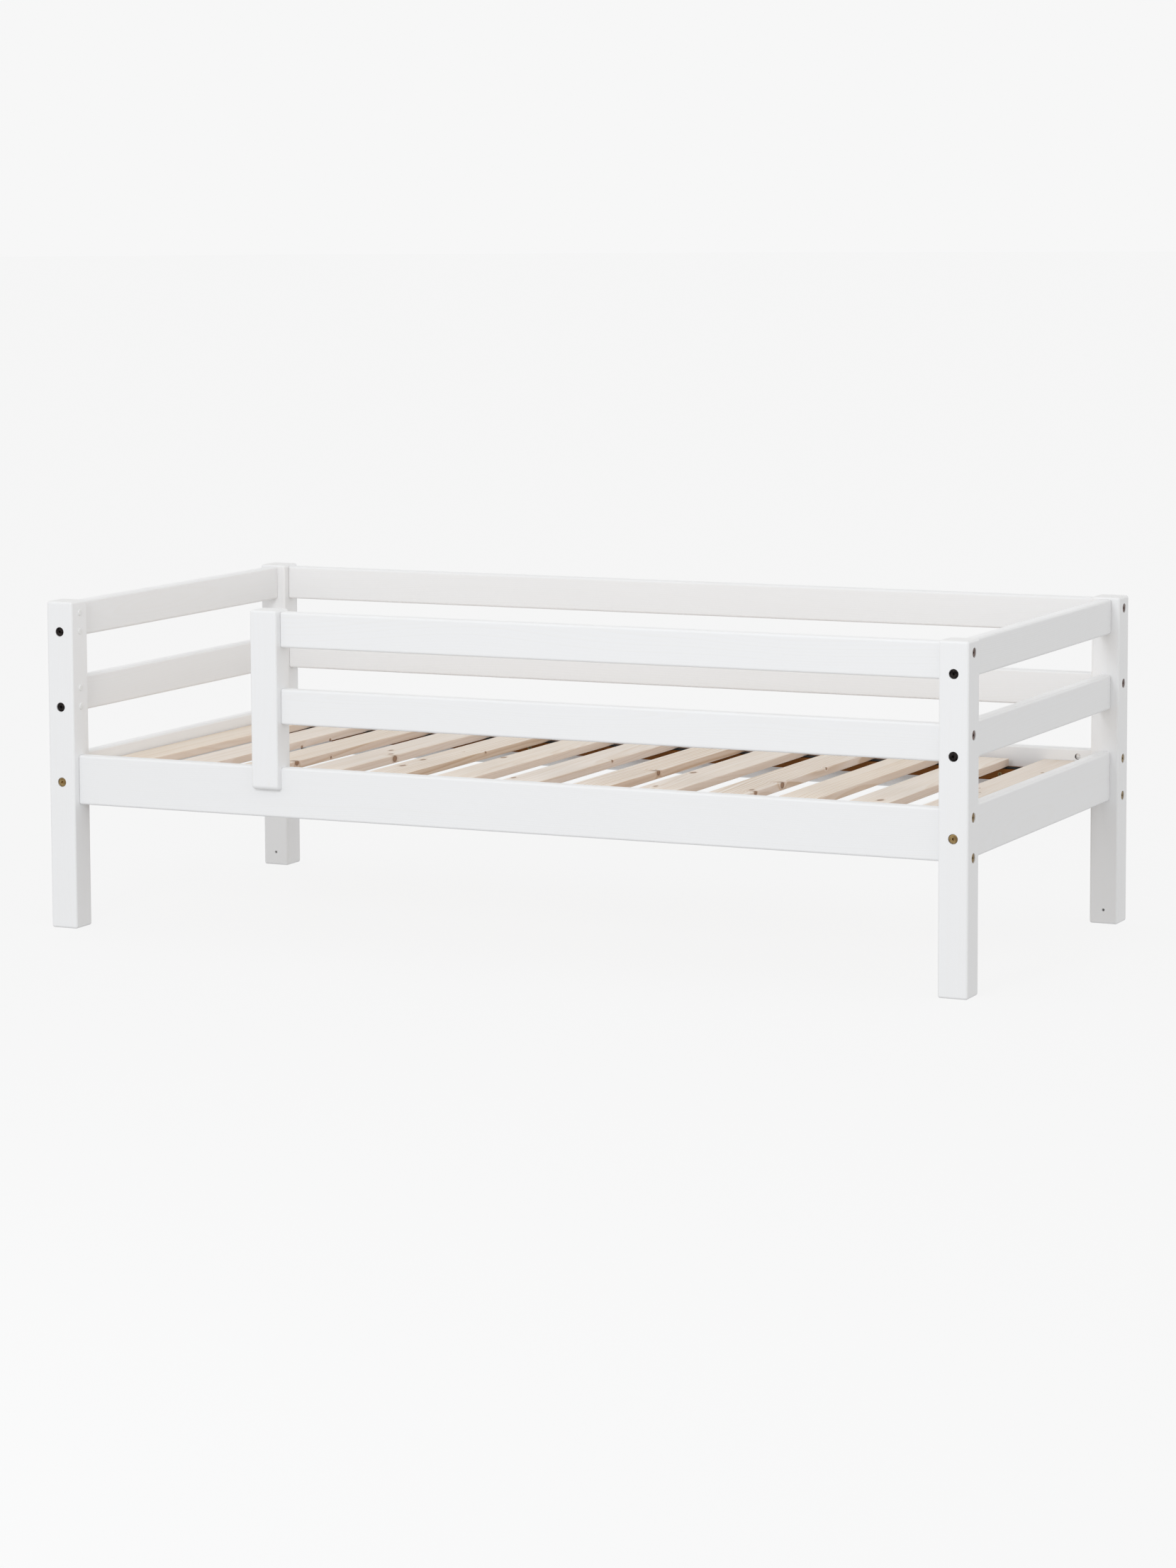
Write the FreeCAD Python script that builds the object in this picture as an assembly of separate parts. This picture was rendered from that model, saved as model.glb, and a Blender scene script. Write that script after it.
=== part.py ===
import FreeCAD, Part
import math
import os

# Toddler bed of lacquered pine: four square posts, boards butted between them with connector bolts,
# a three-quarter guard rail at the front, and slats on webbing that lie loose on two cleats.
# Millimetres. Origin on the floor under the middle of the bed: +X to the right end, +Y to the back.

# Driving dimensions of the frame
bed_length = 1670.0
bed_width = 800.0
bed_height = 564.0
post_side = 50.0
board_thickness = 20.0
narrow_board_height = 60.0
wide_board_height = 85.0
level_pitch = 129.5
post_edge_radius = 4.0
board_edge_radius = 4.0
board_end_radius = 2.0

# Heights of the bolts and dowels, which sit one bolt spacing apart
first_bolt_height = 253.0
bolt_spacing = 32.0
bolt_above_narrow_edge = 11.0
wide_board_bottom = 214.0

# Guard rail's short post, which straddles the front side rail
stub_left = -439.0
stub_depth = 46.0
stub_front_cheek_bottom = 262.0
stub_back_cheek_bottom = 269.0
stub_toe_radius = 7.0

# Slats, webbing and cleats
cleat_depth = 40.0
cleat_height = 20.0
cleat_top = 262.5
cleat_edge_radius = 1.5
webbing_width = 24.0
webbing_thickness = 1.2
webbing_rest_gap = 0.2
webbing_end_margin = 20.0
slat_width = 69.0
slat_length = 698.0
slat_thickness = 14.0
slat_edge_radius = 2.0
slat_end_radius = 1.0
first_slat_left = -797.0
slat_gaps = [55.0, 55.0, 53.0, 53.0, 58.0, 56.0, 60.0, 51.0, 57.0, 55.0, 54.0, 57.0]
end_board_width = 90.0
end_board_length = 728.0

# Connector bolts, barrel nuts and dowels
bolt_radius = 3.0
bolt_hole_radius = 3.4
bolt_length = 85.0
bolt_head_radius = 7.5
bolt_head_thickness = 2.5
bolt_head_edge_radius = 0.9
bolt_recess = 1.0
bolt_socket_width = 4.0
bolt_socket_depth = 4.0
bolt_tip_chamfer = 0.8
counterbore_radius = 8.1
bolt_hole_end_gap = 3.0
nut_radius = 5.0
nut_hole_radius = 5.2
nut_outer_reach = 6.5
nut_inner_reach = 5.5
nut_thread_radius = 3.15
nut_slot_width = 1.4
nut_slot_depth = 1.5
nut_hole_past_axis = 6.0
nut_from_post = 28.0
dowel_radius = 4.0
dowel_half_length = 15.0
dowel_chamfer = 1.0
dowel_hole_radius = 4.1
dowel_hole_half_length = 16.0

# Screws, staples, plugs and the small pilot holes
screw_radius = 2.0
screw_head_radius = 4.0
screw_head_height = 2.5
screw_clearance = 0.1
screw_point_length = 4.0
screw_point_radius = 0.4
screw_recess_width = 1.2
screw_recess_reach = 2.4
screw_recess_depth = 1.4
cleat_screw_length = 50.0
cleat_screw_spacing = 180.0
cleat_screw_count = 8
stub_screw_length = 24.0
stub_screw_height = 284.0
stub_screw_inset = 14.0
staple_crown = 10.0
staple_wire_width = 1.2
staple_wire_thickness = 0.8
staple_leg_top = 270.0
staple_offset = 20.0
plug_head_radius = 5.5
plug_head_thickness = 1.6
plug_stem_length = 8.0
bolt_plug_stem_radius = 3.2
dowel_plug_stem_radius = 3.9
plug_edge_radius = 1.2
cap_radius = 7.9
cap_thickness = 3.5
cap_edge_radius = 0.8
pilot_hole_radius = 2.5
pilot_hole_depth = 12.0
pilot_hole_height = 24.0

# Places that follow from the driving dimensions
half_length = bed_length / 2
half_width = bed_width / 2
post_inner_x = half_length - post_side
post_inner_y = half_width - post_side
post_axis_x = half_length - post_side / 2
post_axis_y = half_width - post_side / 2
board_recess = (post_side - board_thickness) / 2
board_inner_x = half_length - board_recess - board_thickness
board_inner_y = half_width - board_recess - board_thickness
wide_board_top = wide_board_bottom + wide_board_height
webbing_bottom = cleat_top + webbing_rest_gap
slat_bottom = webbing_bottom + webbing_thickness
low_bolt = first_bolt_height
end_bolt_heights = {"bottom": [low_bolt], "middle": [low_bolt + level_pitch],
                    "top": [low_bolt + 2 * level_pitch]}
side_bolt_heights = {"bottom": [low_bolt - bolt_spacing, low_bolt + bolt_spacing],
                     "middle": [low_bolt + level_pitch + bolt_spacing],
                     "top": [low_bolt + 2 * level_pitch + bolt_spacing]}
board_bottoms = {"bottom": wide_board_bottom,
                 "middle": low_bolt + level_pitch - bolt_above_narrow_edge,
                 "top": low_bolt + 2 * level_pitch - bolt_above_narrow_edge}
board_heights = {"bottom": wide_board_height, "middle": narrow_board_height,
                 "top": narrow_board_height}

tolerance = 1e-6
pieces = {}
cutters = {}


def vector(x, y, z):
    return FreeCAD.Vector(x, y, z)


def block(low, high):
    size = high.sub(low)
    return Part.makeBox(size.x, size.y, size.z, low)


def edges_along(shape, axis):
    """Straight edges of a shape that run along one axis, by its index."""
    found = []
    for edge in shape.Edges:
        run = edge.Vertexes[-1].Point.sub(edge.Vertexes[0].Point)
        if abs(abs(run[axis]) - run.Length) < tolerance:
            found.append(edge)
    return found


def eased_board(low, high, axis, long_radius, end_radius):
    """A planed board along one axis, with rounded long edges and eased ends."""
    board = block(low, high)
    board = board.makeFillet(long_radius, edges_along(board, axis))
    ends = []
    for edge in board.Edges:
        box = edge.BoundBox
        span = [box.XLength, box.YLength, box.ZLength][axis]
        if span < tolerance:
            ends.append(edge)
    return board.makeFillet(end_radius, ends)


def add_piece(name, shape):
    pieces[name] = shape
    cutters[name] = []


def placed(shape, point, direction):
    """A shape made along +Z, moved so that its origin is at point and +Z runs along direction."""
    moved = shape.copy()
    turn = FreeCAD.Rotation(vector(0, 0, 1), direction)
    moved.Placement = FreeCAD.Placement(point, turn)
    return moved


def rod(radius, start, direction, length):
    return Part.makeCylinder(radius, length, start, direction)


# Connector bolt: flat head with a hexagonal socket, plain shank. Its origin is the head's top.
def make_bolt():
    head = Part.makeCylinder(bolt_head_radius, bolt_head_thickness)
    rim = [edge for edge in head.Edges if edge.BoundBox.ZMax < tolerance]
    head = head.makeFillet(bolt_head_edge_radius, rim)
    corner = bolt_socket_width / math.sqrt(3)
    corners = []
    for degrees in range(0, 361, 60):
        angle = math.radians(degrees)
        corners.append(vector(corner * math.cos(angle), corner * math.sin(angle), 0))
    socket = Part.Face(Part.makePolygon(corners)).extrude(vector(0, 0, bolt_socket_depth))
    shank_length = bolt_length - bolt_head_thickness
    shank = Part.makeCylinder(bolt_radius, shank_length, vector(0, 0, bolt_head_thickness))
    tip = [edge for edge in shank.Edges if edge.BoundBox.ZMin > bolt_length - tolerance]
    shank = shank.makeChamfer(bolt_tip_chamfer, tip)
    return head.fuse(shank).removeSplitter().cut(socket)


# Barrel nut: a short steel cylinder across the bolt, slotted at its open end.
# Its origin is on the bolt's axis, and +Z points out of the hole that it was put in by.
def make_nut(bolt_direction, mouth_direction):
    length = nut_outer_reach + nut_inner_reach
    barrel = Part.makeCylinder(nut_radius, length, vector(0, 0, -nut_inner_reach))
    slot = block(vector(-nut_radius, -nut_slot_width / 2, nut_outer_reach - nut_slot_depth),
                 vector(nut_radius, nut_slot_width / 2, nut_outer_reach))
    nut = placed(barrel.cut(slot), vector(0, 0, 0), mouth_direction)
    thread_start = bolt_direction * -(2 * nut_radius)
    return nut.cut(rod(nut_thread_radius, thread_start, bolt_direction, 4 * nut_radius))


# Wood screw with a countersunk head and a crossed recess. Its origin is the middle of the head.
def make_screw(length):
    head = Part.makeCone(screw_head_radius, screw_radius, screw_head_height)
    shank = Part.makeCylinder(screw_radius, length - screw_point_length)
    point = Part.makeCone(screw_radius, screw_point_radius, screw_point_length,
                          vector(0, 0, length - screw_point_length))
    screw = head.fuse([shank, point]).removeSplitter()
    reach = screw_recess_reach
    width = screw_recess_width / 2
    recess = block(vector(-reach, -width, 0), vector(reach, width, screw_recess_depth))
    recess = recess.fuse(block(vector(-width, -reach, 0), vector(width, reach, screw_recess_depth)))
    return screw.cut(recess)


def screw_hole(point, direction, length):
    head = Part.makeCone(screw_head_radius + screw_clearance, screw_radius + screw_clearance,
                         screw_head_height)
    shank = Part.makeCylinder(screw_radius + screw_clearance, length + screw_clearance)
    return placed(head.fuse(shank), point, direction)


def make_dowel():
    dowel = Part.makeCylinder(dowel_radius, 2 * dowel_half_length,
                              vector(0, 0, -dowel_half_length))
    rims = [edge for edge in dowel.Edges if edge.BoundBox.ZLength < tolerance]
    return dowel.makeChamfer(dowel_chamfer, rims)


# Posts
post_names = {}
for x_side, x_name in ((-1, "left"), (1, "right")):
    for y_side, y_name in ((-1, "front"), (1, "back")):
        name = "post_" + y_name + "_" + x_name
        post_names[(x_side, y_side)] = name
        x_edges = sorted([x_side * post_inner_x, x_side * half_length])
        y_edges = sorted([y_side * post_inner_y, y_side * half_width])
        post = block(vector(x_edges[0], y_edges[0], 0), vector(x_edges[1], y_edges[1], bed_height))
        add_piece(name, post.makeFillet(post_edge_radius, post.Edges))

# End rails, three at each end
for x_side, x_name in ((-1, "left"), (1, "right")):
    x_edges = sorted([x_side * board_inner_x, x_side * (board_inner_x + board_thickness)])
    for level in board_bottoms:
        bottom = board_bottoms[level]
        low = vector(x_edges[0], -post_inner_y, bottom)
        high = vector(x_edges[1], post_inner_y, bottom + board_heights[level])
        rail = eased_board(low, high, 1, board_edge_radius, board_end_radius)
        add_piece("end_rail_" + x_name + "_" + level, rail)


# Boards along the bed: side rails, back boards and guard boards
def long_board(name, level, y_side, left, right):
    y_edges = sorted([y_side * board_inner_y, y_side * (board_inner_y + board_thickness)])
    bottom = board_bottoms[level]
    low = vector(left, y_edges[0], bottom)
    high = vector(right, y_edges[1], bottom + board_heights[level])
    add_piece(name, eased_board(low, high, 0, board_edge_radius, board_end_radius))


stub_right = stub_left + post_side
long_board("side_rail_front", "bottom", -1, -post_inner_x, post_inner_x)
long_board("side_rail_back", "bottom", 1, -post_inner_x, post_inner_x)
long_board("back_board_middle", "middle", 1, -post_inner_x, post_inner_x)
long_board("back_board_top", "top", 1, -post_inner_x, post_inner_x)
long_board("guard_board_lower", "middle", -1, stub_right, post_inner_x)
long_board("guard_board_top", "top", -1, stub_right, post_inner_x)


# Guard rail's short post: a front and a back cheek reach down over the side rail
def make_stub():
    front = -half_width
    back = front + stub_depth
    stub = block(vector(stub_left, front, stub_front_cheek_bottom),
                 vector(stub_right, back, bed_height))
    toe = []
    for edge in stub.Edges:
        box = edge.BoundBox
        if box.ZMax < stub_front_cheek_bottom + tolerance and box.YMax < front + tolerance:
            toe.append(edge)
    stub = stub.makeFillet(stub_toe_radius, toe)
    top = [edge for edge in stub.Edges if edge.BoundBox.ZMax > bed_height - tolerance]
    stub = stub.makeFillet(post_edge_radius, top)
    slot = block(vector(stub_left, -board_inner_y - board_thickness, stub_front_cheek_bottom),
                 vector(stub_right, -board_inner_y, wide_board_top))
    below_back = block(vector(stub_left, -board_inner_y, stub_front_cheek_bottom),
                       vector(stub_right, back, stub_back_cheek_bottom))
    return stub.cut(slot.fuse(below_back))


add_piece("guard_stub_post", make_stub())

# Cleats on the inner faces of the side rails
for y_side, y_name in ((-1, "front"), (1, "back")):
    y_edges = sorted([y_side * (board_inner_y - cleat_depth), y_side * board_inner_y])
    low = vector(-post_inner_x, y_edges[0], cleat_top - cleat_height)
    high = vector(post_inner_x, y_edges[1], cleat_top)
    cleat = block(low, high)
    add_piece("slat_cleat_" + y_name, cleat.makeFillet(cleat_edge_radius, edges_along(cleat, 0)))

# Slats and the longer end board, laid across the bed
board_spans = []
left = first_slat_left
for number, gap in enumerate(slat_gaps, start=1):
    board_spans.append(("slat_%02d" % number, left, slat_width, slat_length))
    left = left + slat_width + gap
board_spans.append(("slat_end_board", left, end_board_width, end_board_length))
for name, left, wide, long in board_spans:
    low = vector(left, -long / 2, slat_bottom)
    high = vector(left + wide, long / 2, slat_bottom + slat_thickness)
    add_piece(name, eased_board(low, high, 1, slat_edge_radius, slat_end_radius))

# Webbing under the slats' ends, stapled to each slat
webbing_left = board_spans[0][1] + webbing_end_margin
webbing_right = board_spans[-1][1] + end_board_width - webbing_end_margin
staples = []
for y_side, y_name in ((-1, "front"), (1, "back")):
    name = "webbing_" + y_name
    y_edges = sorted([y_side * slat_length / 2, y_side * (slat_length / 2 - webbing_width)])
    low = vector(webbing_left, y_edges[0], webbing_bottom)
    high = vector(webbing_right, y_edges[1], slat_bottom)
    add_piece(name, block(low, high))
    y_middle = (y_edges[0] + y_edges[1]) / 2
    for board_name, left, wide, long in board_spans:
        for x_side in (-1, 1):
            x_middle = left + wide / 2 + x_side * staple_offset
            y_low = y_middle - staple_wire_width / 2
            y_high = y_middle + staple_wire_width / 2
            x_low = x_middle - staple_crown / 2
            x_high = x_middle + staple_crown / 2
            crown_top = webbing_bottom + staple_wire_thickness
            staple = block(vector(x_low, y_low, webbing_bottom), vector(x_high, y_high, crown_top))
            for leg_left in (x_low, x_high - staple_wire_thickness):
                leg_right = leg_left + staple_wire_thickness
                leg = block(vector(leg_left, y_low, crown_top),
                            vector(leg_right, y_high, staple_leg_top))
                staple = staple.fuse(leg)
            staple = staple.removeSplitter()
            staples.append(staple)
            cutters[name].append(staple)
            cutters[board_name].append(staple)

# Bolted and dowelled joints. A board's end meets a post or the stub, the holder. The bolt comes
# through the holder from its outer face into a barrel nut in the board.
bolt = make_bolt()
dowel = make_dowel()


def join(board, holder, face_point, inward, bolt_heights, dowel_heights, mouth, mouth_reach, group):
    reach = bolt_recess + bolt_length + bolt_hole_end_gap
    for height in bolt_heights:
        face = vector(face_point.x, face_point.y, height)
        hole = rod(bolt_hole_radius, face, inward, reach)
        counterbore = rod(counterbore_radius, face, inward, bolt_recess + bolt_head_thickness)
        cutters[holder].append(hole.fuse(counterbore))
        cutters[board].append(hole)
        group["bolts"].append(placed(bolt, face + inward * bolt_recess, inward))
        crossing = face + inward * (post_side + nut_from_post)
        nut_hole_start = crossing + mouth * mouth_reach
        nut_hole_length = mouth_reach + nut_hole_past_axis
        cutters[board].append(rod(nut_hole_radius, nut_hole_start, mouth * -1, nut_hole_length))
        nut = make_nut(inward, mouth)
        nut.translate(crossing)
        group["nuts"].append(nut)
    for height in dowel_heights:
        meeting = vector(face_point.x, face_point.y, height) + inward * post_side
        hole_start = meeting - inward * dowel_hole_half_length
        hole = rod(dowel_hole_radius, hole_start, inward, 2 * dowel_hole_half_length)
        cutters[holder].append(hole)
        cutters[board].append(hole)
        group["dowels"].append(placed(dowel, meeting, inward))


end_group = {"bolts": [], "nuts": [], "dowels": []}
side_group = {"bolts": [], "nuts": [], "dowels": []}
guard_group = {"bolts": [], "nuts": [], "dowels": []}
half_board = board_thickness / 2

# The narrow end rails take their nuts from the lower edge, the wide ones from the bed's inside
for x_side, x_name in ((-1, "left"), (1, "right")):
    for level in board_bottoms:
        board = "end_rail_" + x_name + "_" + level
        mouth = vector(0, 0, -1)
        mouth_reach = bolt_above_narrow_edge
        if level == "bottom":
            mouth = vector(-x_side, 0, 0)
            mouth_reach = half_board
        for y_side in (-1, 1):
            face = vector(x_side * post_axis_x, y_side * half_width, 0)
            join(board, post_names[(x_side, y_side)], face, vector(0, -y_side, 0),
                 end_bolt_heights[level], side_bolt_heights[level], mouth, mouth_reach, end_group)

# Side rails and guard boards take their nuts from the bed's inside, the back boards from behind
for board, level, y_side, mouth_y in (("side_rail_front", "bottom", -1, 1),
                                      ("side_rail_back", "bottom", 1, -1),
                                      ("back_board_middle", "middle", 1, 1),
                                      ("back_board_top", "top", 1, 1)):
    for x_side in (-1, 1):
        face = vector(x_side * half_length, y_side * post_axis_y, 0)
        join(board, post_names[(x_side, y_side)], face, vector(-x_side, 0, 0),
             side_bolt_heights[level], end_bolt_heights[level], vector(0, mouth_y, 0), half_board,
             side_group)
for board, level in (("guard_board_lower", "middle"), ("guard_board_top", "top")):
    for holder, face_x, inward_x in (("guard_stub_post", stub_left, 1),
                                     (post_names[(1, -1)], half_length, -1)):
        face = vector(face_x, -post_axis_y, 0)
        join(board, holder, face, vector(inward_x, 0, 0), side_bolt_heights[level],
             end_bolt_heights[level], vector(0, 1, 0), half_board, guard_group)


# The front left post keeps the holes for a full-length guard, closed with plugs inside and caps outside
def button(head_radius, head_thickness, edge_radius, stem_radius, stem_length):
    head = Part.makeCylinder(head_radius, head_thickness)
    rim = [edge for edge in head.Edges if edge.BoundBox.ZMax < tolerance]
    head = head.makeFillet(edge_radius, rim)
    stem = Part.makeCylinder(stem_radius, stem_length, vector(0, 0, head_thickness))
    return head.fuse(stem).removeSplitter()


bolt_plug = button(plug_head_radius, plug_head_thickness, plug_edge_radius, bolt_plug_stem_radius,
                   plug_stem_length)
dowel_plug = button(plug_head_radius, plug_head_thickness, plug_edge_radius,
                    dowel_plug_stem_radius, plug_stem_length)
cap = button(cap_radius, cap_thickness, cap_edge_radius, bolt_plug_stem_radius, plug_stem_length)
plugs = []
caps = []
spare_post = post_names[(-1, -1)]
for level in ("middle", "top"):
    for height in side_bolt_heights[level]:
        face = vector(-half_length, -post_axis_y, height)
        cutters[spare_post].append(rod(bolt_hole_radius, face, vector(1, 0, 0), post_side))
        cutters[spare_post].append(rod(counterbore_radius, face, vector(1, 0, 0),
                                       bolt_recess + bolt_head_thickness))
        caps.append(placed(cap, face, vector(1, 0, 0)))
        plug_point = vector(-post_inner_x + plug_head_thickness, -post_axis_y, height)
        plugs.append(placed(bolt_plug, plug_point, vector(-1, 0, 0)))
    for height in end_bolt_heights[level]:
        mouth_point = vector(-post_inner_x, -post_axis_y, height)
        cutters[spare_post].append(rod(dowel_hole_radius, mouth_point, vector(-1, 0, 0),
                                       dowel_hole_half_length))
        plug_point = mouth_point + vector(plug_head_thickness, 0, 0)
        plugs.append(placed(dowel_plug, plug_point, vector(-1, 0, 0)))

# Pilot holes low on the back posts, on the faces that look under the bed
for x_side in (-1, 1):
    mouth_point = vector(x_side * post_axis_x, post_inner_y, pilot_hole_height)
    cutters[post_names[(x_side, 1)]].append(rod(pilot_hole_radius, mouth_point, vector(0, 1, 0),
                                                pilot_hole_depth))

# Screws through the cleats into the side rails, and through the stub's back cheek
cleat_screw = make_screw(cleat_screw_length)
cleat_screws = []
cleat_screw_height = cleat_top - cleat_height / 2
for y_side, y_name in ((-1, "front"), (1, "back")):
    for number in range(cleat_screw_count):
        x = (number - (cleat_screw_count - 1) / 2) * cleat_screw_spacing
        point = vector(x, y_side * (board_inner_y - cleat_depth), cleat_screw_height)
        direction = vector(0, y_side, 0)
        hole = screw_hole(point, direction, cleat_screw_length)
        cutters["slat_cleat_" + y_name].append(hole)
        cutters["side_rail_" + y_name].append(hole)
        cleat_screws.append(placed(cleat_screw, point, direction))
stub_screw = make_screw(stub_screw_length)
stub_screws = []
for x in (stub_left + stub_screw_inset, stub_right - stub_screw_inset):
    point = vector(x, -half_width + stub_depth, stub_screw_height)
    direction = vector(0, -1, 0)
    hole = screw_hole(point, direction, stub_screw_length)
    cutters["guard_stub_post"].append(hole)
    cutters["side_rail_front"].append(hole)
    stub_screws.append(placed(stub_screw, point, direction))

# Each wooden or webbing piece with its holes, then the fasteners as groups of separate solids
groups = {"end_rail_bolts": end_group["bolts"], "end_rail_barrel_nuts": end_group["nuts"],
          "end_rail_dowels": end_group["dowels"], "side_board_bolts": side_group["bolts"],
          "side_board_barrel_nuts": side_group["nuts"], "side_board_dowels": side_group["dowels"],
          "guard_bolts": guard_group["bolts"], "guard_barrel_nuts": guard_group["nuts"],
          "guard_dowels": guard_group["dowels"], "post_hole_plugs": plugs,
          "counterbore_caps": caps, "cleat_screws": cleat_screws,
          "guard_stub_screws": stub_screws, "webbing_staples": staples}
os.makedirs("parts", exist_ok=True)
for name, shape in pieces.items():
    if cutters[name]:
        shape = shape.cut(cutters[name])
    shape.exportStep("parts/" + name + ".step")
for name, solids in groups.items():
    Part.makeCompound(solids).exportStep("parts/" + name + ".step")
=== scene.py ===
import math
import random

import bmesh
import bpy
from mathutils import Matrix, Vector


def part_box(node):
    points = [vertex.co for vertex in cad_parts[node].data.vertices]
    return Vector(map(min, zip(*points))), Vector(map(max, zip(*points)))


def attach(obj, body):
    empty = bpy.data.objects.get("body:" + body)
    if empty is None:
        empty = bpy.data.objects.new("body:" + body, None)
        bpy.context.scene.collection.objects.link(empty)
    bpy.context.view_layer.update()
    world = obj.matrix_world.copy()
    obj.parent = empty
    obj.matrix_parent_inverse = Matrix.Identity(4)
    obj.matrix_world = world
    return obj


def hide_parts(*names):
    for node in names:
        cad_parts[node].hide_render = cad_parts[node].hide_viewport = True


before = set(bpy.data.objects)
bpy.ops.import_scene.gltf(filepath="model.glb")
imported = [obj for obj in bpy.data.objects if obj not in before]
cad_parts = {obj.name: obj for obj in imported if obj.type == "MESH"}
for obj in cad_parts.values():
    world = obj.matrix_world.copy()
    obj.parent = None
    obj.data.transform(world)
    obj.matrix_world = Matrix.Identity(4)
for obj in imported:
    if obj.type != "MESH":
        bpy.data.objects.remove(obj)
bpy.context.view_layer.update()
grain_picks = random.Random(1607)


# Posts: four square lengths of pine with rounded edges, sprayed with white satin lacquer.
# The boards butt against them, and the connector bolts pass through them from outside.
def add_node(tree, kind, inputs=None, **settings):
    """A shader node. An input is a plain value or the socket that feeds it."""
    made = tree.nodes.new("ShaderNode" + kind)
    for name, value in settings.items():
        setattr(made, name, value)
    for key, value in (inputs or {}).items():
        if isinstance(value, bpy.types.NodeSocket):
            tree.links.new(value, made.inputs[key])
        else:
            made.inputs[key].default_value = value
    return made


def maths(tree, operation, first, second=0.0, third=0.0):
    made = add_node(tree, "Math", {0: first, 1: second, 2: third}, operation=operation)
    return made.outputs[0]


def spread(tree, value, low, high, new_low=0.0, new_high=1.0):
    """A value taken smoothly from one range to another, and held at its ends."""
    made = add_node(tree, "MapRange", {"Value": value, "From Min": low, "From Max": high,
                                       "To Min": new_low, "To Max": new_high},
                    interpolation_type="SMOOTHSTEP")
    return made.outputs["Result"]


def blend_colour(tree, share, first, second, way="MIX"):
    made = add_node(tree, "Mix", data_type="RGBA", blend_type=way)
    sockets = {"share": made.inputs[0], "first": made.inputs[6], "second": made.inputs[7]}
    for name, value in (("share", share), ("first", first), ("second", second)):
        if isinstance(value, bpy.types.NodeSocket):
            tree.links.new(value, sockets[name])
        elif name == "share":
            sockets[name].default_value = value
        else:
            sockets[name].default_value = (*value, 1.0)
    return made.outputs[2]


def speckle(tree, place, scale, detail=2.0, roughness=0.5):
    made = add_node(tree, "TexNoise", {"Vector": place, "Scale": scale, "Detail": detail,
                                       "Roughness": roughness})
    return made.outputs["Fac"]


def new_finish(name):
    """A material, its node tree and its surface shader."""
    material = bpy.data.materials.new(name)
    material.use_nodes = True
    tree = material.node_tree
    shader = tree.nodes["Principled BSDF"]
    return material, tree, shader


def feed(tree, shader, **sockets):
    for name, socket in sockets.items():
        tree.links.new(socket, shader.inputs[name.replace("_", " ")])


def relief(tree, shader, height, depth):
    """Fine surface height, in metres at full height."""
    bump = add_node(tree, "Bump", {"Height": height, "Distance": depth, "Strength": 1.0})
    tree.links.new(bump.outputs["Normal"], shader.inputs["Normal"])


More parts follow.
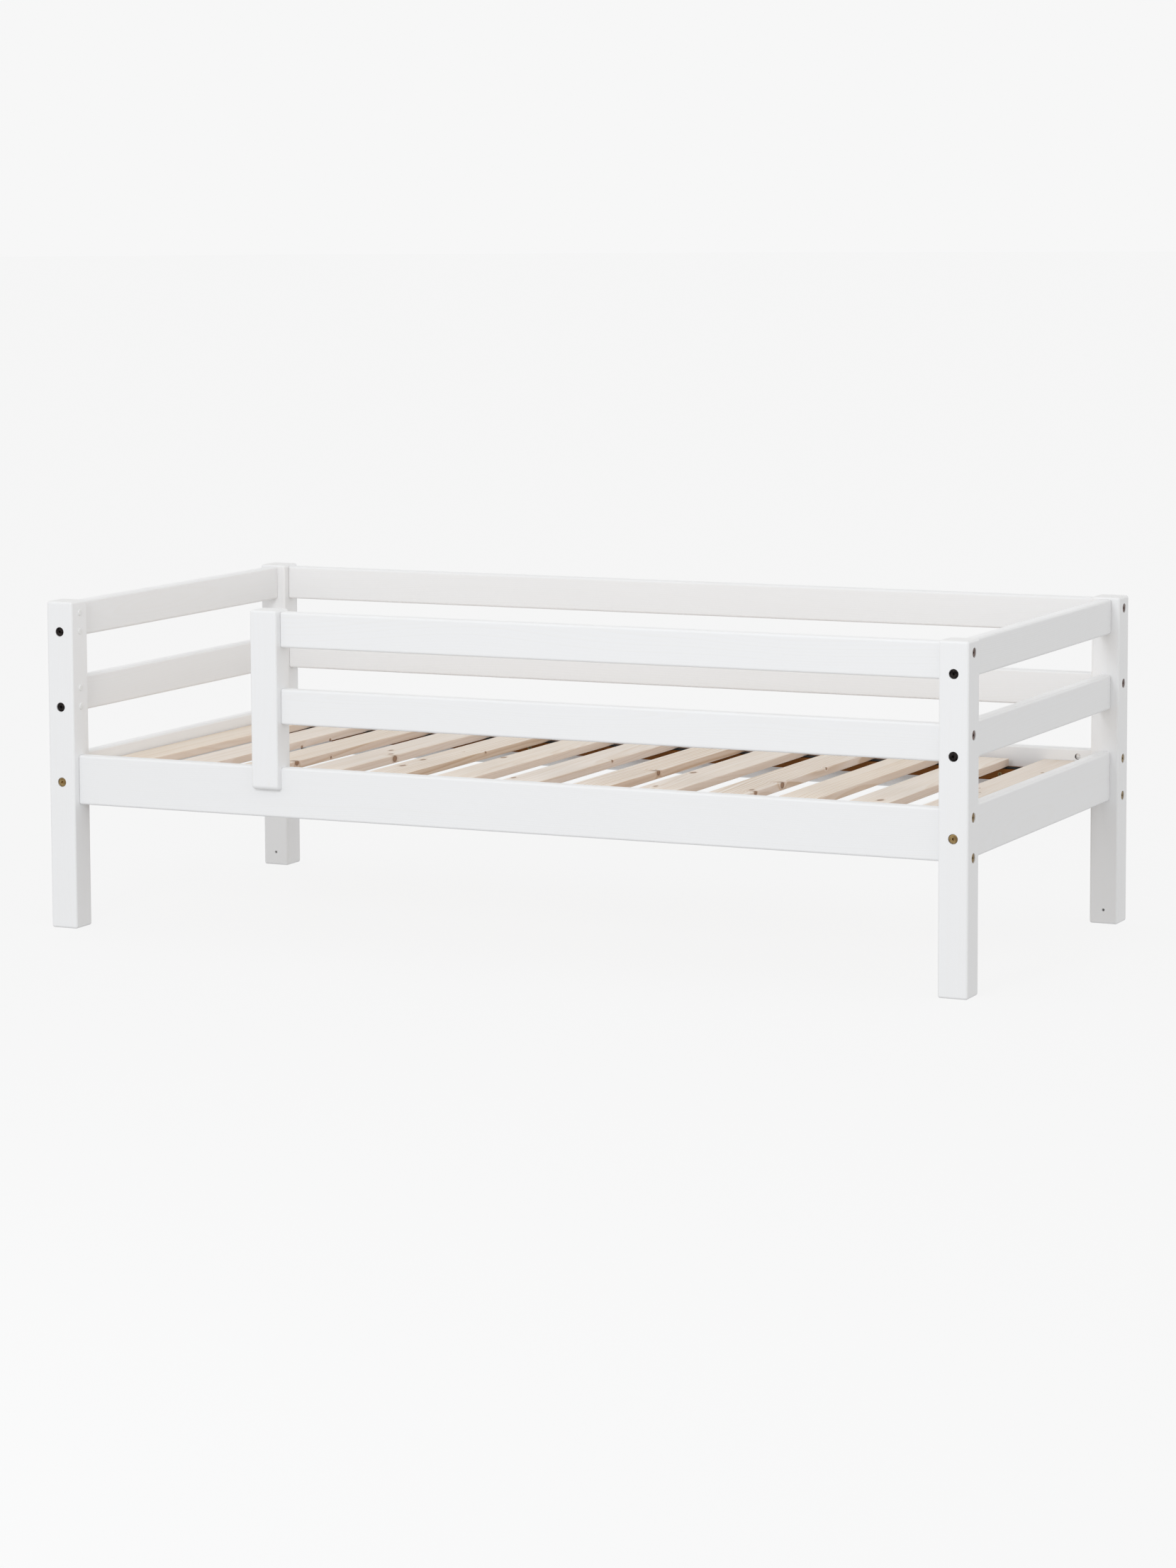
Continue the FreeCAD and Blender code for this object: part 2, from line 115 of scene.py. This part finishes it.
def pine_figure(tree, grain, pith, ring_pitch, set_knots=()):
    """Solid pine figure, as if sawn from a log whose pith runs along the grain through the point pith.
    Gives growth rings, broad streaks, fine fibres, nearness to a knot and how far a face is end grain."""
    coordinates = add_node(tree, "TexCoord")
    place = coordinates.outputs["Object"]
    parts = add_node(tree, "SeparateXYZ", {"Vector": place}).outputs
    facing = add_node(tree, "SeparateXYZ", {"Vector": coordinates.outputs["Normal"]}).outputs
    order = {"X": (0, 1, 2), "Y": (1, 2, 0), "Z": (2, 0, 1)}[grain]
    along, side, up = [maths(tree, "SUBTRACT", parts[i], pith[i]) for i in order]

    def stretched(along_scale, across_scale):
        scaled = [maths(tree, "MULTIPLY", along, along_scale),
                  maths(tree, "MULTIPLY", side, across_scale),
                  maths(tree, "MULTIPLY", up, across_scale)]
        return add_node(tree, "CombineXYZ", dict(enumerate(scaled))).outputs[0]

    # Small knots come from scattered cells, of which under half hold a knot, and the rest are set one by one
    cells = add_node(tree, "TexVoronoi", {"Vector": stretched(5.0, 10.0), "Scale": 1.0})
    picks = add_node(tree, "SeparateColor", {"Color": cells.outputs["Color"]}).outputs
    reach = spread(tree, picks[0], 0.55, 1.0, 0.0001, 0.075)
    knot = maths(tree, "DIVIDE", cells.outputs["Distance"], reach)
    for centre, radii in set_knots:
        from_knot = add_node(tree, "VectorMath", {0: place, 1: centre}, operation="SUBTRACT").outputs[0]
        scaled = add_node(tree, "VectorMath", {0: from_knot, 1: radii}, operation="DIVIDE").outputs[0]
        distance = add_node(tree, "VectorMath", {0: scaled}, operation="LENGTH").outputs["Value"]
        knot = maths(tree, "MINIMUM", knot, distance)

    # Rings swell round a knot, and wander along the board as the tree's stem did
    swell = maths(tree, "MULTIPLY", spread(tree, knot, 3.2, 0.4), 0.0055)
    drift = add_node(tree, "TexNoise", {"Vector": stretched(1.5, 2.0), "Scale": 1.0, "Detail": 1.0})
    shift = add_node(tree, "VectorMath", {0: drift.outputs["Color"], 1: (0.5, 0.5, 0.5)},
                     operation="SUBTRACT").outputs[0]
    shift = add_node(tree, "VectorMath", {0: shift, 1: (0.0, 0.055, 0.055)},
                     operation="MULTIPLY").outputs[0]
    section = add_node(tree, "CombineXYZ", {1: side, 2: up}).outputs[0]
    section = add_node(tree, "VectorMath", {0: section, 1: shift}, operation="ADD").outputs[0]
    radius = add_node(tree, "VectorMath", {0: section}, operation="LENGTH").outputs["Value"]
    radius = maths(tree, "ADD", radius, swell)
    count = maths(tree, "DIVIDE", radius, ring_pitch)
    ripple = maths(tree, "MULTIPLY", speckle(tree, stretched(8.0, 60.0), 1.0), 0.5)
    count = maths(tree, "ADD", count, ripple)
    phase = maths(tree, "FRACT", count)
    late = maths(tree, "MULTIPLY", spread(tree, phase, 0.25, 0.86), spread(tree, phase, 1.0, 0.9))
    year = add_node(tree, "TexWhiteNoise", {"W": maths(tree, "FLOOR", count)},
                    noise_dimensions="1D").outputs["Value"]
    rings = maths(tree, "MULTIPLY", late, spread(tree, year, 0.0, 1.0, 0.35, 1.0))
    return {
        "rings": rings,
        "streaks": speckle(tree, stretched(1.6, 75.0), 1.0, 3.0),
        "fibres": speckle(tree, stretched(14.0, 900.0), 1.0, 2.0, 0.6),
        "knot": knot,
        "end_grain": spread(tree, maths(tree, "ABSOLUTE", facing[order[0]]), 0.6, 0.95),
        "facing": facing,
        "place": place,
    }


white_coat = (0.865, 0.868, 0.873)
clouded_coat = (0.85, 0.852, 0.855)
thin_coat = (0.83, 0.815, 0.785)
knot_stain = (0.78, 0.74, 0.66)
raw_wood_painted_shade = (0.12, 0.075, 0.045)
nut_hole_inside = 0.0053
nut_hole_outside = 0.00545
lacquer_relief = 0.00005


def pith_near(name, reach=(0.035, 0.11)):
    """A point beside a board where the pith of its tree would run, picked afresh for each board."""
    low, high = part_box(name)
    middle = (low + high) / 2
    angle = grain_picks.uniform(0, 2 * math.pi)
    distance = grain_picks.uniform(*reach)
    return (middle.x + distance * math.cos(angle),
            middle.y + distance * math.cos(angle + 2.1),
            middle.z + distance * math.sin(angle))


def white_lacquer(name, grain, bored=(), bored_plane=(1.0, 1.0, 1.0)):
    """Sprayed white lacquer. The rings stand up through it a little, and old knots stain it faintly.
    The walls of the nut holes are bare wood in shade, painted a dark brown as painted shade: bored holds the
    holes' middles, and bored_plane has 0 along the holes and 1 across them."""
    material, tree, shader = new_finish("white_lacquer_" + name)
    figure = pine_figure(tree, grain, pith_near(name), grain_picks.uniform(0.0024, 0.0036))
    cloud = speckle(tree, figure["place"], 7.0, 3.0)
    colour = blend_colour(tree, spread(tree, cloud, 0.3, 0.75, 0.0, 0.35), white_coat, clouded_coat)
    colour = blend_colour(tree, maths(tree, "MULTIPLY", figure["rings"], 0.16), colour, thin_coat)
    colour = blend_colour(tree, spread(tree, figure["streaks"], 0.55, 0.8, 0.0, 0.10), colour, thin_coat)
    colour = blend_colour(tree, spread(tree, figure["knot"], 1.15, 0.55, 0.0, 0.38), colour, knot_stain)
    flatness = maths(tree, "MAXIMUM", maths(tree, "ABSOLUTE", figure["facing"][0]),
                     maths(tree, "ABSOLUTE", figure["facing"][1]))
    flatness = maths(tree, "MAXIMUM", flatness, maths(tree, "ABSOLUTE", figure["facing"][2]))
    worn_edge = maths(tree, "MULTIPLY", spread(tree, flatness, 0.93, 0.74),
                      spread(tree, speckle(tree, figure["place"], 90.0, 4.0), 0.5, 0.68))
    colour = blend_colour(tree, maths(tree, "MULTIPLY", worn_edge, 0.35), colour, thin_coat)
    colour = blend_colour(tree, maths(tree, "MULTIPLY", figure["end_grain"], 0.22), colour, thin_coat)
    # Painted shade: the walls of the nut holes are painted a dark brown that stands for bare wood in the
    # holes' shadow
    for centre in bored:
        away = add_node(tree, "VectorMath", {0: figure["place"], 1: centre}, operation="SUBTRACT").outputs[0]
        away = add_node(tree, "VectorMath", {0: away, 1: bored_plane}, operation="MULTIPLY").outputs[0]
        away = add_node(tree, "VectorMath", {0: away}, operation="LENGTH").outputs["Value"]
        along_bore = maths(tree, "ABSOLUTE", figure["facing"][bored_plane.index(0.0)])
        raw = maths(tree, "MULTIPLY", spread(tree, away, nut_hole_outside, nut_hole_inside),
                    spread(tree, along_bore, 0.5, 0.2))
        colour = blend_colour(tree, raw, colour, raw_wood_painted_shade)
    peel = speckle(tree, figure["place"], 420.0, 2.0)
    gloss = maths(tree, "ADD", spread(tree, cloud, 0.2, 0.8, 0.33, 0.43),
                  maths(tree, "MULTIPLY", figure["end_grain"], 0.12))
    height = maths(tree, "ADD", maths(tree, "MULTIPLY", figure["rings"], 0.7),
                   maths(tree, "MULTIPLY", figure["fibres"], 0.35))
    height = maths(tree, "ADD", height, maths(tree, "MULTIPLY", peel, 0.3))
    feed(tree, shader, Base_Color=colour, Roughness=gloss)
    relief(tree, shader, height, lacquer_relief)
    return material


def dress(name, material):
    """Gives a CAD piece its finish."""
    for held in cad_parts[name].material_slots:
        held.material = material


for post in ("post_front_left", "post_front_right", "post_back_left", "post_back_right"):
    dress(post, white_lacquer(post, "Z"))


# End rails: three planed and lacquered pine boards at each end, the bottom one wider.
# Each is dowelled and bolted between a front and a back post, set in from the posts' outer faces.
nut_from_end = 0.028
wide_rail_nut_height = 0.039

for end in ("left", "right"):
    for level in ("bottom", "middle", "top"):
        rail = "end_rail_" + end + "_" + level
        low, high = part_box(rail)
        nut_ends = (low.y + nut_from_end, high.y - nut_from_end)
        if level == "bottom":
            holes = [(0.0, y, low.z + wide_rail_nut_height) for y in nut_ends]
            dress(rail, white_lacquer(rail, "Y", holes, (0.0, 1.0, 1.0)))
        else:
            holes = [((low.x + high.x) / 2, y, 0.0) for y in nut_ends]
            dress(rail, white_lacquer(rail, "Y", holes, (1.0, 1.0, 0.0)))


# Side rails and back boards: the long lacquered boards between the posts.
# The two wide side rails carry the slatted base, and the two narrow boards close the back.
wide_board_nut_heights = (0.007, 0.071)
narrow_board_nut_heights = (0.043,)


def long_board(name, nut_heights):
    """A board along the bed, with the holes for its barrel nuts near both ends."""
    low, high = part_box(name)
    holes = [(x, 0.0, low.z + height) for x in (low.x + nut_from_end, high.x - nut_from_end)
             for height in nut_heights]
    dress(name, white_lacquer(name, "X", holes, (1.0, 0.0, 1.0)))


for board in ("side_rail_front", "side_rail_back"):
    long_board(board, wide_board_nut_heights)
for board in ("back_board_middle", "back_board_top"):
    long_board(board, narrow_board_nut_heights)


# Guard rail: two lacquered boards between the right front post and a short post of its own.
# The short post is slotted over the side rail and screwed to it from inside.
for board in ("guard_board_lower", "guard_board_top"):
    long_board(board, narrow_board_nut_heights)
dress("guard_stub_post", white_lacquer("guard_stub_post", "Z"))


# Cleats: square strips of bare pine, browner than the slats and painted much darker still as painted shade
# for the shadow under the slats, screwed to the side rails' inner faces.
# The slatted base lies loose on them.
planed_relief = 0.00014
knot_heart = (0.36, 0.205, 0.105)
knot_rim = (0.20, 0.105, 0.055)
# Painted shade: the cleats' early and late wood are set far darker than real pine, for the shade they lie in
cleat_early_painted_shade = (0.20, 0.072, 0.012)
cleat_late_painted_shade = (0.11, 0.036, 0.006)
cleat_ring_pitch = 0.0026


def bare_pine(name, grain, pith, ring_pitch, early, late, ring_share, painted_side_shade=(1.0, 1.0, 1.0),
              set_knots=(), shine=0.5):
    """Planed, unfinished pine: pale early wood, darker late wood, brown knots with a dark rim."""
    material, tree, shader = new_finish("pine_" + name)
    figure = pine_figure(tree, grain, pith, ring_pitch, set_knots)
    colour = blend_colour(tree, maths(tree, "MULTIPLY", figure["rings"], ring_share), early, late)
    colour = blend_colour(tree, spread(tree, figure["streaks"], 0.42, 0.75, 0.0, 0.34), colour, late)
    tinted = [0.55 * value for value in late]
    colour = blend_colour(tree, spread(tree, figure["fibres"], 0.56, 0.78, 0.0, 0.22), colour, tinted)
    halo = [0.80 * late[0], 0.68 * late[1], 0.58 * late[2]]
    colour = blend_colour(tree, spread(tree, figure["knot"], 2.1, 0.9, 0.0, 0.5), colour, halo)
    heart = blend_colour(tree, spread(tree, figure["knot"], 0.45, 0.92), knot_heart, knot_rim)
    colour = blend_colour(tree, spread(tree, figure["knot"], 1.25, 0.80, 0.0, 0.9), colour, heart)
    colour = blend_colour(tree, maths(tree, "MULTIPLY", figure["end_grain"], 0.45), colour, late)
    # Painted shade: faces turned across the slat, its sides, are multiplied darker and browner for the shade
    # in the gaps between slats
    edge = spread(tree, maths(tree, "ABSOLUTE", figure["facing"][0]), 0.6, 0.9)
    colour = blend_colour(tree, edge, colour, painted_side_shade, "MULTIPLY")
    gloss = maths(tree, "ADD", spread(tree, figure["fibres"], 0.3, 0.7, 0.52, 0.66),
                  maths(tree, "MULTIPLY", figure["rings"], -0.06))
    height = maths(tree, "ADD", maths(tree, "MULTIPLY", figure["rings"], 0.6),
                   maths(tree, "MULTIPLY", figure["fibres"], 0.6))
    height = maths(tree, "SUBTRACT", height, spread(tree, figure["knot"], 1.1, 0.9, 0.0, 0.8))
    feed(tree, shader, Base_Color=colour, Roughness=gloss)
    shader.inputs["Specular IOR Level"].default_value = shine
    relief(tree, shader, height, planed_relief)
    return material


for cleat in ("slat_cleat_front", "slat_cleat_back"):
    dress(cleat, bare_pine(cleat, "X", pith_near(cleat), cleat_ring_pitch, cleat_early_painted_shade, cleat_late_painted_shade, 0.6,
                           shine=0.15))


# Slats: twelve planed pine slats and a longer board at the right end, edges eased, left bare.
# They lie across the cleats, so each shows its own growth rings and knots.
def knot_in(name, side, across, y, size):
    """A knot's middle and its half lengths. One in a board's edge lies across metres above the board's
    underside and runs in sideways. One in its face lies across metres from its left side and runs down."""
    low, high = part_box(name)
    if side == "edge":
        return (high.x, y, low.z + across), (3.0 * size, 1.35 * size, size)
    return (low.x + across, y, high.z), (size, 1.9 * size, 2.5 * size)


board_knots = {
    "slat_02": [("edge", 0.002, 0.079, 0.0024), ("edge", 0.002, 0.186, 0.0024)],
    "slat_03": [("edge", 0.011, -0.166, 0.0048), ("edge", 0.005, -0.042, 0.0022)],
    "slat_04": [("edge", 0.008, -0.034, 0.0056), ("face", 0.032, 0.023, 0.0034),
                ("face", 0.054, -0.020, 0.0034)],
    "slat_05": [("face", 0.020, -0.145, 0.0044), ("face", 0.018, -0.065, 0.0040),
                ("edge", 0.012, 0.077, 0.0018)],
    "slat_06": [("face", 0.007, 0.016, 0.0042)],
    "slat_07": [("edge", 0.012, 0.061, 0.0024), ("face", 0.008, -0.205, 0.0034)],
    "slat_08": [("edge", 0.011, -0.033, 0.0050)],
    "slat_09": [("face", 0.012, -0.030, 0.0046), ("face", 0.020, -0.204, 0.0030)],
    "slat_10": [("edge", 0.011, -0.194, 0.0038), ("edge", 0.009, -0.079, 0.0054),
                ("edge", 0.012, 0.118, 0.0022), ("face", 0.056, -0.180, 0.0034)],
    "slat_12": [("face", 0.046, -0.208, 0.0046)],
    "slat_end_board": [("face", 0.021, -0.017, 0.0016), ("face", 0.038, -0.063, 0.0016),
                       ("face", 0.055, 0.200, 0.0022)],
}
# Boards with a wide, strong figure (ring pitch and strength), and boards with deeper painted shade on their
# side faces
bold_figures = {"slat_03": (0.0045, 0.8), "slat_05": (0.0050, 0.9), "slat_08": (0.0062, 1.0),
                "slat_10": (0.0058, 1.0), "slat_11": (0.0050, 0.8)}
# Painted shade on the slats' side faces: the usual tone, and deeper ones for three boards
usual_painted_side_shade = (0.92, 0.845, 0.80)
painted_side_shades = {"slat_03": (0.86, 0.76, 0.70), "slat_05": (0.78, 0.66, 0.56), "slat_08": (0.83, 0.71, 0.62)}
base_boards = ["slat_%02d" % number for number in range(1, 13)] + ["slat_end_board"]
for board in base_boards:
    knots = [knot_in(board, *knot) for knot in board_knots.get(board, [])]
    warmth = grain_picks.uniform(-0.015, 0.015)
    early = (0.895 + warmth / 2, 0.81, 0.72 - warmth)
    late = (0.71 + warmth, 0.545, 0.385 - warmth)
    usual_figure = (grain_picks.uniform(0.0028, 0.0048), grain_picks.uniform(0.3, 0.5))
    pitch, strength = bold_figures.get(board, usual_figure)
    dress(board, bare_pine(board, "Y", pith_near(board), pitch, early, late, strength,
                           painted_side_shades.get(board, usual_painted_side_shade), knots))


# Webbing: a black woven strap under the slats' ends at each side, which keeps them at their spacing.
# It is polypropylene, ribbed across, with a firm rounded selvedge along both edges.
rib_pitch = 0.0024
steps_in_rib = 4
rib_height = 0.00012
strap_rows = 12


def woven_strap(name, node):
    """A strap as a closed mesh along X, its ribs raised on both faces, in the place of its CAD solid."""
    low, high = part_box(node)
    count = round((high.x - low.x) / rib_pitch) * steps_in_rib
    middle_z = (low.z + high.z) / 2
    half_thickness = (high.z - low.z) / 2 - 0.00005
    half_width = (high.y - low.y) / 2
    middle_y = (low.y + high.y) / 2
    mesh = bmesh.new()
    rings = []
    for step in range(count + 1):
        x = low.x + (high.x - low.x) * step / count
        ring = []
        for corner in range(2 * strap_rows):
            angle = 2 * math.pi * (corner + 0.5) / (2 * strap_rows)
            across = math.copysign(abs(math.cos(angle)) ** 0.35, math.cos(angle))
            above = math.copysign(abs(math.sin(angle)) ** 0.35, math.sin(angle))
            slant = across * 1.2
            rib = rib_height * (1 - math.cos(2 * math.pi * (step / steps_in_rib + abs(slant)))) / 2
            y = middle_y + half_width * across
            z = middle_z + above * (half_thickness - rib)
            ring.append(mesh.verts.new((x, y, z)))
        rings.append(ring)
    for first, second in zip(rings, rings[1:]):
        for corner in range(2 * strap_rows):
            following = (corner + 1) % (2 * strap_rows)
            mesh.faces.new((first[corner], second[corner], second[following], first[following]))
    mesh.faces.new(rings[0])
    mesh.faces.new(list(reversed(rings[-1])))
    bmesh.ops.recalc_face_normals(mesh, faces=mesh.faces)
    data = bpy.data.meshes.new(name)
    mesh.to_mesh(data)
    mesh.free()
    for face in data.polygons:
        face.use_smooth = len(face.vertices) == 4
    strap = bpy.data.objects.new(name, data)
    bpy.context.scene.collection.objects.link(strap)
    return strap


def black_weave():
    """Black yarn: fine cross ribs and lengthwise plies, with scattered patches of dust."""
    material, tree, shader = new_finish("black_webbing")
    place = add_node(tree, "TexCoord").outputs["Object"]
    parts = add_node(tree, "SeparateXYZ", {"Vector": place}).outputs
    ply = maths(tree, "SINE", maths(tree, "MULTIPLY", parts[1], 2 * math.pi / 0.0009))
    weft = maths(tree, "SINE", maths(tree, "MULTIPLY", parts[0], 2 * math.pi / 0.0012))
    yarn = spread(tree, maths(tree, "MULTIPLY", ply, weft), -0.8, 0.8)
    dust = speckle(tree, place, 60.0, 4.0)
    colour = blend_colour(tree, yarn, (0.004, 0.004, 0.004), (0.016, 0.015, 0.015))
    colour = blend_colour(tree, spread(tree, dust, 0.58, 0.8, 0.0, 0.12), colour, (0.09, 0.083, 0.072))
    shader.inputs["Specular IOR Level"].default_value = 0.2
    feed(tree, shader, Base_Color=colour, Roughness=spread(tree, yarn, 0.0, 1.0, 0.9, 0.75))
    relief(tree, shader, yarn, 0.00012)
    return material


weave = black_weave()
for side in ("front", "back"):
    strap = woven_strap("woven_strap_" + side, "webbing_" + side)
    strap.data.materials.append(weave)
    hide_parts("webbing_" + side)
    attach(strap, "slat_base")


# Staples and barrel nuts: bright zinc-plated steel. The staples hold the strap to each slat,
# and the nuts lie across the boards' ends, turned so that their slots meet a screwdriver.
def plated_steel(name, bright, dull, smooth, rough):
    """Plated steel with a mottled tone, tool marks and soft scratches."""
    material, tree, shader = new_finish(name)
    place = add_node(tree, "TexCoord").outputs["Object"]
    mottle = speckle(tree, place, 260.0, 4.0)
    marks = speckle(tree, place, 1500.0, 3.0, 0.7)
    colour = blend_colour(tree, spread(tree, mottle, 0.35, 0.68), bright, dull)
    shader.inputs["Metallic"].default_value = 1.0
    feed(tree, shader, Base_Color=colour, Roughness=spread(tree, marks, 0.3, 0.7, smooth, rough))
    relief(tree, shader, marks, 0.00002)
    return material


zinc = plated_steel("zinc_steel", (0.86, 0.865, 0.87), (0.66, 0.67, 0.68), 0.24, 0.42)
for fixing in ("webbing_staples", "end_rail_barrel_nuts", "side_board_barrel_nuts", "guard_barrel_nuts"):
    dress(fixing, zinc)


# Connector bolts: M6 flat heads with a hexagonal socket, sunk in counterbores in the posts' faces.
# The lowest ones are gold-bronze. Above them the colour turns to a painted dark reflection: nearly black at
# the ends and red-brown at the sides.
def bronze_with_painted_reflection(name, painted_reflection_light, painted_reflection_dark):
    material, tree, shader = new_finish("bronze_with_painted_reflection_" + name)
    place = add_node(tree, "TexCoord").outputs["Object"]
    height = add_node(tree, "SeparateXYZ", {"Vector": place}).outputs[2]
    mottle = speckle(tree, place, 180.0, 4.0)
    marks = speckle(tree, place, 1400.0, 3.0, 0.7)
    golden = blend_colour(tree, spread(tree, mottle, 0.3, 0.7), (0.46, 0.33, 0.15), (0.24, 0.155, 0.07))
    dark = blend_colour(tree, spread(tree, mottle, 0.3, 0.7), painted_reflection_light, painted_reflection_dark)
    # Painted reflection: above about 0.33 m the bolts take dark colours that stand for reflected dark
    # surroundings
    colour = blend_colour(tree, spread(tree, height, 0.31, 0.36), golden, dark)
    shader.inputs["Metallic"].default_value = 1.0
    feed(tree, shader, Base_Color=colour, Roughness=spread(tree, marks, 0.3, 0.7, 0.26, 0.46))
    relief(tree, shader, marks, 0.00002)
    return material


dress("end_rail_bolts", bronze_with_painted_reflection("end", (0.045, 0.038, 0.036), (0.010, 0.008, 0.008)))
side_bolt_bronze_and_reflection = bronze_with_painted_reflection("side", (0.26, 0.17, 0.145), (0.11, 0.065, 0.055))
for bolts in ("side_board_bolts", "guard_bolts"):
    dress(bolts, side_bolt_bronze_and_reflection)


# Dowels: short beech pegs glued in beside the bolts, so that a board can't turn on its bolt.
# They are out of sight once the bed is together.
def turned_beech():
    material, tree, shader = new_finish("beech")
    place = add_node(tree, "TexCoord").outputs["Object"]
    fleck = speckle(tree, place, 700.0, 3.0, 0.7)
    cloud = speckle(tree, place, 40.0)
    colour = blend_colour(tree, spread(tree, cloud, 0.3, 0.7), (0.62, 0.41, 0.24), (0.54, 0.34, 0.19))
    colour = blend_colour(tree, spread(tree, fleck, 0.58, 0.72, 0.0, 0.5), colour, (0.33, 0.18, 0.09))
    feed(tree, shader, Base_Color=colour, Roughness=spread(tree, fleck, 0.3, 0.7, 0.5, 0.65))
    relief(tree, shader, fleck, 0.00006)
    return material


beech = turned_beech()
for dowels in ("end_rail_dowels", "side_board_dowels", "guard_dowels"):
    dress(dowels, beech)


# Screws: countersunk wood screws with yellow zinc plating, through the cleats into the side rails,
# and two through the short post's back cheek.
yellow_zinc = plated_steel("yellow_zinc_screw", (0.30, 0.215, 0.10), (0.13, 0.09, 0.045), 0.34, 0.52)
for screws in ("cleat_screws", "guard_stub_screws"):
    dress(screws, yellow_zinc)


# Plugs and caps: white moulded buttons that close the left front post's unused bolt and dowel holes.
def moulded_white():
    material, tree, shader = new_finish("white_plastic")
    place = add_node(tree, "TexCoord").outputs["Object"]
    satin = speckle(tree, place, 900.0, 2.0)
    cloud = speckle(tree, place, 120.0)
    colour = blend_colour(tree, spread(tree, cloud, 0.35, 0.7), (0.84, 0.84, 0.835), (0.80, 0.80, 0.79))
    shader.inputs["Subsurface Weight"].default_value = 0.08
    shader.inputs["Subsurface Radius"].default_value = (0.002, 0.002, 0.0018)
    feed(tree, shader, Base_Color=colour, Roughness=spread(tree, satin, 0.3, 0.7, 0.3, 0.42))
    relief(tree, shader, satin, 0.00002)
    return material


moulding = moulded_white()
for buttons in ("post_hole_plugs", "counterbore_caps"):
    dress(buttons, moulding)


# Studio: a pale floor that glows faintly, as a white sweep does, under an even soft sky.
# One broad soft lamp stands low in front, and nothing else lights the bed.
floor_glow = 0.852
floor_white = 0.08
floor_bounce = 0.55
floor_reach = 60.0
sky_at_horizon = 1.19
sky_fade = 0.54
backdrop = 0.93
lamp_power = 52.0
lamp_side = 1.1
lamp_place = Vector((0.3, -4.5, 2.1))
lamp_target = Vector((0.1, 0.0, 0.35))
lamp_colour = (0.93, 0.96, 1.0)
sky_colour = (1.0, 0.998, 0.995, 1.0)

floor_mesh = bmesh.new()
bmesh.ops.create_circle(floor_mesh, cap_ends=True, radius=floor_reach, segments=64)
floor_data = bpy.data.meshes.new("floor")
floor_mesh.to_mesh(floor_data)
floor_mesh.free()
floor = bpy.data.objects.new("floor", floor_data)
bpy.context.scene.collection.objects.link(floor)
pale, pale_tree, pale_shader = new_finish("pale_floor")
pale_shader.inputs["Base Color"].default_value = (floor_white, floor_white, floor_white, 1.0)
pale_shader.inputs["Roughness"].default_value = 1.0
pale_shader.inputs["Specular IOR Level"].default_value = 0.0
pale_shader.inputs["Emission Color"].default_value = (1.0, 1.0, 1.0, 1.0)
pale_shader.inputs["Emission Strength"].default_value = floor_glow
pale.cycles.emission_sampling = "NONE"
bounce = add_node(pale_tree, "Emission", {"Strength": floor_bounce})
direct = add_node(pale_tree, "LightPath").outputs["Is Camera Ray"]
pale_mix = add_node(pale_tree, "MixShader", {0: direct, 1: bounce.outputs[0], 2: pale_shader.outputs[0]})
pale_tree.links.new(pale_mix.outputs[0], pale_tree.nodes["Material Output"].inputs["Surface"])
floor_data.materials.append(pale)

world = bpy.data.worlds.new("studio")
world.use_nodes = True
sky_tree = world.node_tree
sky = sky_tree.nodes["Background"]
sky.inputs["Color"].default_value = sky_colour
direction = add_node(sky_tree, "TexCoord").outputs["Generated"]
up = add_node(sky_tree, "SeparateXYZ", {"Vector": direction}).outputs[2]
fade = maths(sky_tree, "MULTIPLY", maths(sky_tree, "MAXIMUM", up, 0.0), sky_fade)
sky_tree.links.new(maths(sky_tree, "SUBTRACT", sky_at_horizon, fade), sky.inputs["Strength"])
wall = add_node(sky_tree, "Background", {"Color": (1.0, 1.0, 1.0, 1.0), "Strength": backdrop})
seen = add_node(sky_tree, "LightPath").outputs["Is Camera Ray"]
either = add_node(sky_tree, "MixShader", {0: seen, 1: sky.outputs[0], 2: wall.outputs[0]})
sky_tree.links.new(either.outputs[0], sky_tree.nodes["World Output"].inputs["Surface"])
bpy.context.scene.world = world

lamp_data = bpy.data.lights.new("soft_lamp", "AREA")
lamp_data.energy = lamp_power
lamp_data.size = lamp_side
lamp_data.color = lamp_colour
lamp = bpy.data.objects.new("soft_lamp", lamp_data)
lamp.location = lamp_place
lamp.rotation_mode = "QUATERNION"
lamp.rotation_quaternion = (lamp_place - lamp_target).to_track_quat("Z", "Y")
lamp.visible_camera = False
bpy.context.scene.collection.objects.link(lamp)
bpy.context.scene.view_settings.view_transform = "Standard"


# Camera: a long lens about seven metres off, to the right of the bed's front and a little above it.
camera_place = (3.136, -6.752, 1.295)
camera_azimuth = math.radians(24.92)
camera_elevation = math.radians(5.99)
camera_roll = math.radians(-0.25)
camera_lens = 100.4
camera_sensor = 36.0
camera_shift = -0.1
camera_data = bpy.data.cameras.new("camera")
camera_data.lens = camera_lens
camera_data.sensor_width = camera_sensor
camera_data.shift_y = camera_shift
camera_data.clip_end = 200.0
camera = bpy.data.objects.new("camera", camera_data)
turn = Matrix.Rotation(camera_azimuth, 4, "Z") @ Matrix.Rotation(math.pi / 2 - camera_elevation, 4, "X")
turn = turn @ Matrix.Rotation(camera_roll, 4, "Z")
camera.matrix_world = Matrix.Translation(camera_place) @ turn
bpy.context.scene.collection.objects.link(camera)
bpy.context.scene.camera = camera
